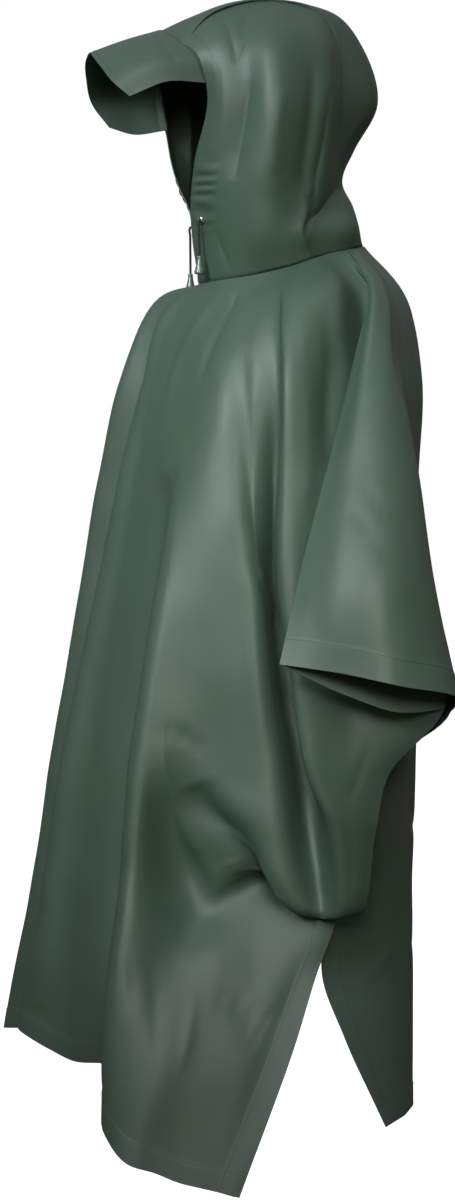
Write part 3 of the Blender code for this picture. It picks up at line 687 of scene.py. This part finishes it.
def stitches(name, runs, surface):
    """Short rounded threads along the paths, all in one mesh."""
    vertices, faces = [], []
    for run in runs:
        lengths = np.append(0.0, np.cumsum(np.linalg.norm(np.diff(run, axis=0), axis=1)))
        places = np.arange(STITCH_PITCH / 2, lengths[-1] - STITCH_PITCH / 2, STITCH_PITCH)
        middles, ahead = (np.stack([np.interp(at, lengths, run[:, i]) for i in range(3)], axis=1)
                          for at in (places, places + 0.5))
        for middle, way in zip(middles, unit(ahead - middles)):
            side = unit(np.cross(way, OFF_AXIS))
            rise = np.cross(way, side)
            faces += tube_faces(len(vertices), len(STITCH_RINGS), STITCH_SIDES)
            for place, girth in STITCH_RINGS:
                centre = middle + way * place * STITCH_LENGTH
                around = ring(centre, side, rise, STITCH_RADIUS * girth, STITCH_SIDES)
                vertices += [point * MM for point in around]
    return link(name, tube_mesh(name, vertices, faces), [surface])


# ---- materials

WAVE_UNIT = 20              # a wave texture of scale 1 has a band every 2 pi / 20

def linear(hex_colour):
    """sRGB hex to linear RGBA."""
    parts = [int(hex_colour[i:i + 2], 16) / 255 for i in (1, 3, 5)]
    return (*[c / 12.92 if c <= 0.04045 else ((c + 0.055) / 1.055) ** 2.4 for c in parts], 1.0)


def node(tree, kind, links=None, **settings):
    """Add a shader node, set its properties and inputs, and link its inputs."""
    made = tree.nodes.new(kind)
    for name, value in settings.items():
        if hasattr(made, name):
            setattr(made, name, value)
        else:
            made.inputs[name.replace("_", " ")].default_value = value
    for name, source in (links or {}).items():
        tree.links.new(source, made.inputs[name])
    return made


def new_material(name, colour, roughness, **inputs):
    """Principled material; the named inputs are set too."""
    made = bpy.data.materials.new(name)
    made.use_nodes = True
    shader = made.node_tree.nodes["Principled BSDF"]
    shader.inputs["Base Color"].default_value = linear(colour)
    shader.inputs["Roughness"].default_value = roughness
    for key, value in inputs.items():
        shader.inputs[key.replace("_", " ")].default_value = value
    return made, made.node_tree, shader


def grain(tree, scale, detail=2.0):
    """Noise in the object's own coordinates."""
    place = node(tree, "ShaderNodeTexCoord")
    made = node(tree, "ShaderNodeTexNoise", {"Vector": place.outputs["Object"]}, Scale=scale, Detail=detail)
    return made.outputs["Fac"]


def bands(tree, across, way, pitch):
    """Even bands over a flat map, one per pitch in metres."""
    made = node(tree, "ShaderNodeTexWave", {"Vector": across}, bands_direction=way,
                Scale=2 * math.pi / (WAVE_UNIT * pitch))
    return made.outputs["Fac"]


def tint(tree, shader, factor, dark, light):
    """Base colour between two shades."""
    blend = node(tree, "ShaderNodeMixRGB", {"Fac": factor}, Color1=linear(dark), Color2=linear(light))
    tree.links.new(blend.outputs["Color"], shader.inputs["Base Color"])


def vary_gloss(tree, shader, factor, low, high):
    """Roughness between two values."""
    gloss = node(tree, "ShaderNodeMapRange", {"Value": factor}, To_Min=low, To_Max=high)
    tree.links.new(gloss.outputs["Result"], shader.inputs["Roughness"])


def coated_taffeta(name, light, dark, roughness, coat):
    """Polyester taffeta under a smooth polyurethane film: an even colour with a satin gloss.

    The film gives broad soft highlights; the weave under it only breaks them up a little.
    Threads lie 0.2 mm apart on the real cloth and are drawn 1.3 mm apart so that they show.
    """
    made, tree, shader = new_material(name, light, roughness, IOR=1.5, Coat_Weight=coat,
                                      Coat_Roughness=0.4, Coat_IOR=1.47)
    tint(tree, shader, grain(tree, 7.0, 4.0), dark, light)
    vary_gloss(tree, shader, grain(tree, 26.0, 3.0), roughness - 0.05, roughness + 0.06)
    flat = node(tree, "ShaderNodeUVMap", uv_map="cloth").outputs["UV"]
    weave = node(tree, "ShaderNodeMath", {0: bands(tree, flat, "X", 1.3 * MM),
                                          1: bands(tree, flat, "Y", 1.3 * MM)}, operation="ADD")
    low = node(tree, "ShaderNodeBump", {"Height": grain(tree, 60.0, 3.0)}, Strength=0.12, Distance=1.2 * MM)
    high = node(tree, "ShaderNodeBump", {"Height": weave.outputs["Value"], "Normal": low.outputs["Normal"]},
                Strength=0.05, Distance=0.15 * MM)
    tree.links.new(high.outputs["Normal"], shader.inputs["Normal"])
    return made


def sewing_thread():
    """Spun polyester thread, matt; drawn darker than the cloth, which paints the shade along the stitch
    line.
    """
    made, tree, shader = new_material("spun polyester thread", "#38443c", 0.75, IOR=1.5)
    # Darker tint of the thread: painted shade along the stitch line.
    tint(tree, shader, grain(tree, 900.0), "#2b372f", "#46544a")
    return made


def braided_polyester():
    """Round braid: two sets of strands that cross at a slant, matt."""
    made, tree, shader = new_material("braided polyester cord", "#3c4a41", 0.7, IOR=1.5, Sheen_Weight=0.05)
    flat = node(tree, "ShaderNodeUVMap", uv_map="braid").outputs["UV"]
    turned_way = node(tree, "ShaderNodeMapping", {"Vector": flat}, Scale=(-1.0, 1.0, 1.0))
    cross = node(tree, "ShaderNodeMath",
                 {0: bands(tree, flat, "DIAGONAL", 1.6 * MM),
                  1: bands(tree, turned_way.outputs["Vector"], "DIAGONAL", 1.6 * MM)}, operation="MULTIPLY")
    tint(tree, shader, cross.outputs["Value"], "#131a15", "#2c3931")
    bump = node(tree, "ShaderNodeBump", {"Height": cross.outputs["Value"]}, Strength=0.5, Distance=0.3 * MM)
    tree.links.new(bump.outputs["Normal"], shader.inputs["Normal"])
    return made


def plated_brass():
    """Pressed brass with a thin nickel plate: bright, faintly brushed by handling."""
    made, tree, shader = new_material("nickel-plated brass", "#b9b8ae", 0.26, Metallic=1.0)
    vary_gloss(tree, shader, grain(tree, 420.0, 4.0), 0.18, 0.36)
    return made


def moulded_nylon():
    """Injection-moulded nylon with a pearly grey-green tint and a soft gloss."""
    made, tree, shader = new_material("moulded nylon", "#7d9085", 0.24, IOR=1.53, Coat_Weight=0.4,
                                      Coat_Roughness=0.12)
    tint(tree, shader, grain(tree, 160.0), "#3c4b43", "#66796e")
    return made


# ---- camera, light and floor

# Softboxes: place, target, width and height in metres, power in W, colour, spread in degrees.
SOFTBOXES = {
    "front softbox": ((1.7, -2.1, 1.2), (0.1, 0.0, -0.1), (1.0, 1.0), 4.0, (0.86, 0.96, 1.0), 37),
    "overhead softbox": ((1.9, -0.6, 1.3), (0.15, 0.0, -0.35), (0.9, 0.9), 1.2, (0.93, 0.98, 1.0), 42),
    "side softbox": ((3.2, -0.5, 0.7), (0.25, 0.0, -0.32), (0.9, 0.9), 1.9, (1.0, 0.98, 0.9), 38),
}
# Light of the room from straight below to straight above: place on the way and colour.
ROOM = (
    (0.2, (0.020, 0.018, 0.010, 1.0)),
    (0.52, (0.115, 0.112, 0.092, 1.0)),
    (0.95, (0.42, 0.44, 0.46, 1.0)),
)
FLOOR_RADIUS = 16.0
FLOOR_GLOW = 0.85           # makes the floor as white as the paper behind


def look_camera():
    """Long lens at chest height, level, a little in front of the wearer's left side."""
    data = bpy.data.cameras.new("camera")
    data.lens = 81.3
    data.sensor_width = 36.0
    data.shift_x = -0.0396
    data.shift_y = -0.1
    made = bpy.data.objects.new("camera", data)
    bpy.context.collection.objects.link(made)
    made.location = (3.152, -0.557, -0.257)
    made.rotation_euler = (math.radians(90), 0.0, math.radians(80))
    bpy.context.scene.camera = made


def area_light(name, place, target, size, power, colour, spread):
    data = bpy.data.lights.new(name, "AREA")
    data.spread = math.radians(spread)
    data.shape = "RECTANGLE"
    data.size, data.size_y = size
    data.energy = power
    data.color = colour
    made = bpy.data.objects.new(name, data)
    bpy.context.collection.objects.link(made)
    made.location = place
    made.rotation_euler = (Vector(target) - Vector(place)).to_track_quat("-Z", "Y").to_euler()


def studio_world():
    """White paper behind the object; the room itself is dim, cooler above and darker below."""
    world = bpy.data.worlds.new("studio")
    bpy.context.scene.world = world
    world.use_nodes = True
    tree = world.node_tree
    room = tree.nodes["Background"]
    room.inputs["Strength"].default_value = 1.0
    way = node(tree, "ShaderNodeTexCoord")
    height = node(tree, "ShaderNodeSeparateXYZ", {"Vector": way.outputs["Generated"]})
    ramp = node(tree, "ShaderNodeValToRGB", {"Fac": node(
        tree, "ShaderNodeMapRange", {"Value": height.outputs["Z"]},
        From_Min=-1.0, From_Max=1.0).outputs["Result"]})
    stops = ramp.color_ramp.elements
    stops.new(0.5)
    for stop, (position, colour) in zip(stops, ROOM):
        stop.position = position
        stop.color = colour
    tree.links.new(ramp.outputs["Color"], room.inputs["Color"])
    paper = node(tree, "ShaderNodeBackground", Color=(1.0, 1.0, 1.0, 1.0), Strength=1.0)
    seen = node(tree, "ShaderNodeLightPath")
    both = node(tree, "ShaderNodeMixShader", {0: seen.outputs["Is Camera Ray"]})
    tree.links.new(room.outputs["Background"], both.inputs[1])
    tree.links.new(paper.outputs["Background"], both.inputs[2])
    tree.links.new(both.outputs["Shader"], tree.nodes["World Output"].inputs["Surface"])


def studio():
    scene = bpy.context.scene
    scene.view_settings.view_transform = "Standard"
    studio_world()
    for name, row in SOFTBOXES.items():
        area_light(name, *row)
    bpy.ops.mesh.primitive_circle_add(vertices=96, radius=FLOOR_RADIUS, fill_type="NGON",
                                      location=(0.0, 0.0, FLOOR_Z))
    floor = bpy.context.object
    floor.name = "floor"
    paper = new_material("pale paper floor", "#f6f6f4", 0.9, IOR=1.5,
                         Emission_Color=(1.0, 1.0, 1.0, 1.0), Emission_Strength=FLOOR_GLOW)[0]
    floor.visible_diffuse = False
    floor.visible_glossy = False
    floor.data.materials.append(paper)


# ---- garment pieces

# Grid columns per gap between fold lines, and rows per gap between stations.
FRONT_STEPS = (11, 13)
BACK_STEPS = (14, 12)
HOOD_STEPS = (14, 12)
CENTRE_STEPS = (14, 10)
PEAK_STEPS = (12, 22)
# Seam allowances: how far they reach past the seam and sink behind the neighbour, in mm.
NECK_TUCK = (8.0, 1.2)
CROWN_TUCK = (5.0, 0.9)
BROW_TUCK = (7.0, 1.0)
# Waves of the cloth: size and height in mm.
PANEL_WAVES = ((62.0, 2.2), (21.0, 0.5))
HOOD_WAVES = (48.0, 1.4)
CENTRE_WAVES = (48.0, 1.2)
WAVE_SEEDS = {"front": 3.0, "back": 17.0, "left": 31.0, "right": 32.0, "centre": 41.0}
SEED_STEP = 5.0
GATHER_HEIGHT = 1.2         # puckers of the casing, mm
GATHERED = (0.8, 4.4)       # stations between which the drawcord gathers its casing
GATHER_FADE = 0.6           # stations over which the puckers die out
PUCKER_RUN = 2.4            # length of a pucker along the casing per radian, mm
PUCKER_DRIFT = (1.6, 9.0)   # unevenness in radians, and its own length per radian in mm
PUCKER_SLANT = 2.4          # radians that the puckers lean per fold line

def whole_panel(table, seam, middle, far, steps):
    """Panel from the near sleeve over the body to the far sleeve."""
    sleeve = fold_lines(table)
    sleeve[0] = seam
    lines = sleeve + middle + far[::-1] + [mirrored(line) for line in reversed(sleeve)]
    return panel_sheet(lines, len(sleeve), *steps)


def front_sheet(seam):
    near = fold_lines({k: v for k, v in FRONT_BODY.items() if k not in CENTRE_LINES})
    centre = fold_lines({k: FRONT_BODY[k] for k in CENTRE_LINES})
    far = fold_lines({k: v for k, v in FRONT_BODY.items() if k not in CENTRE_LINES + NEAR_ONLY})
    return whole_panel(FRONT_SLEEVE, seam, near + centre, [mirrored(line) for line in far], FRONT_STEPS)


def back_sheet(seam):
    near = fold_lines(BACK_BODY)
    far = [far_vent(name, line) for name, line in zip(BACK_BODY, near)]
    centre = np.vstack((neck_point(BACK_CENTRE[0]), BACK_CENTRE[1]))
    return whole_panel(BACK_SLEEVE, seam, near + [centre], far, BACK_STEPS)


def turned(point, droop=0.0, pull=0.0):
    """The same place on the far side of the hood, which is turned a little forward."""
    x, y, z = point
    share = min(max((z - TURN_START) / TURN_RISE, 0.0), 1.0)
    return (-x, y - HOOD_TURN * x * share + pull, z - droop)


def hood_side_sheet(far):
    lines = []
    for name, (angle, points) in HOOD_SIDE.items():
        start = neck_point(-angle if far else angle) + (0, 0, HOOD_LIFT)
        if far:
            drop = FAR_DROOP if name == "face edge" else (0,) * len(points)
            share = PULL_SHARES.get(name, 0.0)
            points = [turned(p, d, pull * share) for p, d, pull in zip(points, drop, FAR_PULL)]
        lines.append(np.vstack((start, points)))
    return sheet_of(lines, *HOOD_STEPS)


def hood_centre_sheet():
    rows = [(side, quarter, (0, *middle), turned(quarter), turned(side))
            for side, quarter, middle in HOOD_CENTRE]
    angles = CENTRE_NECK_ANGLES
    neck = [neck_point(a) for a in angles] + [neck_point(-a) for a in reversed(angles[:-1])]
    rows.append([point + (0, 0, HOOD_LIFT) for point in neck])
    return sheet_of(list(zip(*rows)), *CENTRE_STEPS)


def gather_casing(sheet):
    """Puckers where the drawcord gathers its casing, dying out at its ends and edges."""
    run = run_from(sheet.grid, 0, "first")
    first, last = GATHERED
    strength = np.clip(np.minimum(sheet.v - first, last - sheet.v) / GATHER_FADE, 0, 1)
    profile = np.clip(sheet.u / 0.35, 0, 1) * np.clip((1.25 - sheet.u) / 0.5, 0, 1)
    drift, length = PUCKER_DRIFT
    wave = np.sin(run / PUCKER_RUN + drift * np.sin(run / length) + PUCKER_SLANT * sheet.u[None, :])
    sheet.push(GATHER_HEIGHT * wave * strength[:, None] * profile[None, :])


def hem_distances(sheet, sleeve_count):
    """Distances to the hem, the sleeve openings and the two vents, each with its hem's width."""
    low = np.repeat(sheet.v[:, None], len(sheet.u), axis=1)
    body = ((sheet.u >= sleeve_count) & (sheet.u <= sheet.u[-1] - sleeve_count))[None, :]
    down = run_from(sheet.grid, 0, "last")
    lower = sheet.grid.copy()
    lower[low < CUFF_STATION - 1e-6] = np.nan
    free = (low >= VENT_STATION) & body
    vents = [np.where(free, run_from(lower, 1, end), np.nan) for end in ("first", "last")]
    return ((np.where(body, down, np.nan), HEM_WIDTH, 0), (np.where(body, np.nan, down), CUFF_WIDTH, 0),
            (vents[0], HEM_WIDTH, 1), (vents[1], HEM_WIDTH, 1))


def sew_panel(name, sheet, sleeve_count, thread):
    """Rows of stitches along every hem, and the lift of the hems."""
    runs = []
    lift = np.zeros(sheet.filled.shape)
    for distance, width, axis in hem_distances(sheet, sleeve_count):
        proud = CLOTH_HALF + HEM_LIFT + PROUD / 2
        runs += split_runs(stitch_path(sheet, distance, width - STITCH_INSET, axis, proud))
        lift = np.maximum(lift, np.nan_to_num(hem_lift(distance, width), nan=0.0))
    return stitches(name, runs, thread), lift


def bodies(cloth, painted_light_lining, thread):
    seam = (fold_lines(FRONT_SLEEVE)[0] + fold_lines(BACK_SLEEVE)[0]) / 2
    for name, make, table, count, cut in (
            ("front", front_sheet, FRONT_CREASES, len(FRONT_SLEEVE), FRONT_CUT),
            ("back", back_sheet, BACK_CREASES, len(BACK_SLEEVE), BACK_CUT)):
        sheet = make(seam)
        for step, (size, height) in enumerate(PANEL_WAVES):
            add_waves(sheet, size, height, WAVE_SEEDS[name] + SEED_STEP * step)
        add_creases(sheet, table)
        add_creases(sheet, table, flip=sheet.u[-1])
        thread_piece, lift = sew_panel(name + "_stitches", sheet, count, thread)
        piece = cloth_piece(name + "_cloth", sheet, [cloth, painted_light_lining], lift=lift)
        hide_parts(name + "_panel")


def hood_side(side, cloth, painted_light_lining, thread):
    """One side of the hood; returns its sheet before the drawcord gathers it."""
    sheet = hood_side_sheet(side == "right")
    add_waves(sheet, *HOOD_WAVES, WAVE_SEEDS[side])
    add_creases(sheet, HOOD_CREASES)
    smooth = Sheet(sheet.grid, sheet.u, sheet.v)
    gather_casing(sheet)
    edge = run_from(sheet.grid, 1, "first")
    path = split_runs(stitch_path(sheet, edge, CASING_WIDTH - 1.0, 1, CLOTH_HALF + PROUD))
    thread_piece = stitches("hood_{}_stitches".format(side), path, thread)
    lift = hem_lift(edge, CASING_WIDTH)
    lift = np.vstack((lift[:1], lift[:1], lift))
    piece = cloth_piece("hood_{}_cloth".format(side), tucked(sheet, "top", *NECK_TUCK),
                        [cloth, painted_light_lining], lift=lift)
    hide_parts("hood_side_" + side)
    return smooth


def hood_centre(cloth, painted_light_lining):
    sheet = hood_centre_sheet()
    add_waves(sheet, *CENTRE_WAVES, WAVE_SEEDS["centre"])
    add_creases(sheet, CENTRE_CREASES)
    add_creases(sheet, CENTRE_CREASES, flip=sheet.u[-1])
    for edge, tuck in (("left", CROWN_TUCK), ("right", CROWN_TUCK), ("bottom", NECK_TUCK)):
        sheet = tucked(sheet, edge, *tuck)
    piece = cloth_piece("hood_centre_cloth", sheet, [cloth, painted_light_lining])
    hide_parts("hood_centre")


def peak(cloth, thread):
    sheet = sheet_of(PEAK, *PEAK_STEPS)
    add_creases(sheet, PEAK_CREASES)
    edge = run_from(sheet.grid, 0, "last")
    path = split_runs(stitch_path(sheet, edge, PEAK_STITCH, 0, PEAK_HALF + PROUD))
    thread_piece = stitches("peak_stitches", path, thread)
    piece = cloth_piece("peak_cloth", tucked(sheet, "top", *BROW_TUCK), [cloth, cloth], half=PEAK_HALF)
    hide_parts("peak")


# ---- drawcord

def turned_piece(name, profile, sides, surface):
    """Round hard piece: a circle that is extruded and resized ring by ring, then rounded."""
    radius, height = profile[0]
    bpy.ops.object.select_all(action="DESELECT")
    bpy.ops.mesh.primitive_circle_add(vertices=sides, radius=radius, location=(0.0, 0.0, height))
    made = bpy.context.object
    made.name = made.data.name = name
    bpy.ops.object.mode_set(mode="EDIT")
    bpy.ops.mesh.select_all(action="SELECT")
    for radius_now, height_now in profile[1:]:
        scale = radius_now / radius
        bpy.ops.mesh.extrude_edges_move(TRANSFORM_OT_translate={"value": (0.0, 0.0, height_now - height)})
        bpy.ops.transform.resize(value=(scale, scale, 1.0), center_override=(0.0, 0.0, height_now))
        radius, height = radius_now, height_now
    bpy.ops.mesh.select_all(action="SELECT")
    bpy.ops.mesh.remove_doubles(threshold=1e-6)
    bpy.ops.mesh.select_non_manifold()
    if any(v.select for v in bmesh.from_edit_mesh(made.data).verts):
        bpy.ops.mesh.fill()
    bpy.ops.mesh.select_all(action="SELECT")
    bpy.ops.mesh.normals_make_consistent(inside=False)
    bpy.ops.object.mode_set(mode="OBJECT")
    rounding = made.modifiers.new("rounding", "SUBSURF")
    rounding.levels = rounding.render_levels = 2
    bpy.ops.object.modifier_apply(modifier=rounding.name)
    bpy.ops.object.shade_smooth()
    made.data.materials.append(surface)
    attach(made, ROOT)
    return made


def settle(piece, matrix):
    """Put a piece in place through its mesh, so that its object stays at the origin."""
    piece.data.transform(piece.matrix_basis)
    piece.matrix_basis = Matrix.Identity(4)
    piece.data.transform(matrix)


def facing(place, axis):
    turn = Vector(axis).to_track_quat("Z", "Y").to_matrix().to_4x4()
    return Matrix.Translation(Vector(place)) @ turn


def cord_tube(name, path, surface):
    """Tube along a path with a braid map: turn round the cord and length along it, in metres."""
    ways = unit(np.gradient(path, axis=0))
    side = np.cross(ways[0], (1.0, 0.0, 0.0))
    vertices = []
    for point, way in zip(path, ways):
        side = unit(side - way * np.dot(side, way))
        vertices += ring(point, side, np.cross(way, side), CORD_DIAMETER / 2, CORD_SIDES)
    sizes = np.append(0.0, np.cumsum(np.linalg.norm(np.diff(path, axis=0), axis=1)))
    step = math.pi * CORD_DIAMETER / CORD_SIDES
    flat = [(step * (k + turn), sizes[row + rise]) for row in range(len(path) - 1)
            for k in range(CORD_SIDES) for turn, rise in ((0, 0), (1, 0), (1, 1), (0, 1))]
    flat += [(0.0, 0.0)] * (2 * CORD_SIDES)
    mesh = tube_mesh(name, vertices, tube_faces(0, len(path), CORD_SIDES), flat)
    made = link(name, mesh, [surface])
    mesh.set_sharp_from_angle(angle=math.radians(SHARP_CORD))
    return made


def drawcord(side, sheet, metal, braid, plastic):
    """Eyelet, free end of the cord and its bell-shaped cord end."""
    place = sheet.place(0.5, 1.5) * MM
    along = sheet.place(0.5, 2.0) - sheet.place(0.5, 1.0)
    across = sheet.place(1.0, 1.5) - sheet.place(0.0, 1.5)
    out = unit(np.cross(across, along))
    if out[1] > 0:
        out = -out
    hole, rim, high = EYELET_INNER, EYELET_OUTER, EYELET_HEIGHT
    rings = ((hole, -0.9 * MM), (hole, high * 0.55), (hole * 1.25, high), (rim * 0.78, high * 0.95),
             (rim, high * 0.35), (rim * 0.97, 0.0), (hole * 1.2, -0.1 * MM), (hole, -0.9 * MM))
    eyelet = turned_piece("eyelet_ring_" + side, rings, 28, metal)
    settle(eyelet, facing(place + out * (CAD_WALL / 2 + 0.3 * MM), out))
    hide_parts("eyelet_" + side)
    start = place + out * (CAD_WALL / 2 + 0.5 * MM)
    bend = start + out * 3.2 * MM
    drop = np.array(CORD_DROP[side]) * MM
    route = [start, bend + (0.0, 0.0, -1.2 * MM), bend + drop * 0.2, bend + drop * 0.6, bend + drop]
    path = line_at(route, np.linspace(0, len(route) - 1, CORD_MARKS))
    tube = cord_tube("drawcord_free_" + side, path, braid)
    top, base, long = CORD_END_TOP, CORD_END_BASE, CORD_END_LENGTH
    rings = ((top * 0.62, 0.3 * MM), (top * 0.95, 0.0), (top, -0.06 * long), (top * 0.96, -0.2 * long),
             (top * 1.2, -0.36 * long), (base * 0.72, -0.6 * long), (base * 0.95, -0.84 * long),
             (base, -0.93 * long), (base * 0.93, -long), (base * 0.78, -long),
             (base * 0.6, -0.86 * long), (base * 0.3, -0.8 * long))
    bell = turned_piece("cord_bell_" + side, rings, 24, plastic)
    settle(bell, Matrix.Translation(Vector(path[-1] - (0.0, 0.0, 0.3 * MM))))
    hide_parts("cord_end_" + side)
    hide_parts("drawcord_" + side)


def main():
    look_camera()
    cloth = coated_taffeta("PU-coated polyester taffeta", "#44574a", "#3b4d41", 0.5, 0.06)
    # The inner side is drawn lighter than the cloth as painted light, so that the sleeve's inner lip and
    # the inside seen through the vents look lit; its duller gloss is its own.
    painted_light_lining = coated_taffeta("PU film inner side, painted lighter", "#57695b", "#4c5f50", 0.6, 0.03)
    thread = sewing_thread()
    sides = {side: hood_side(side, cloth, painted_light_lining, thread) for side in ("left", "right")}
    hood_centre(cloth, painted_light_lining)
    peak(cloth, thread)
    metal, braid, plastic = plated_brass(), braided_polyester(), moulded_nylon()
    for side, sheet in sides.items():
        drawcord(side, sheet, metal, braid, plastic)
    bodies(cloth, painted_light_lining, thread)
    studio()


main()
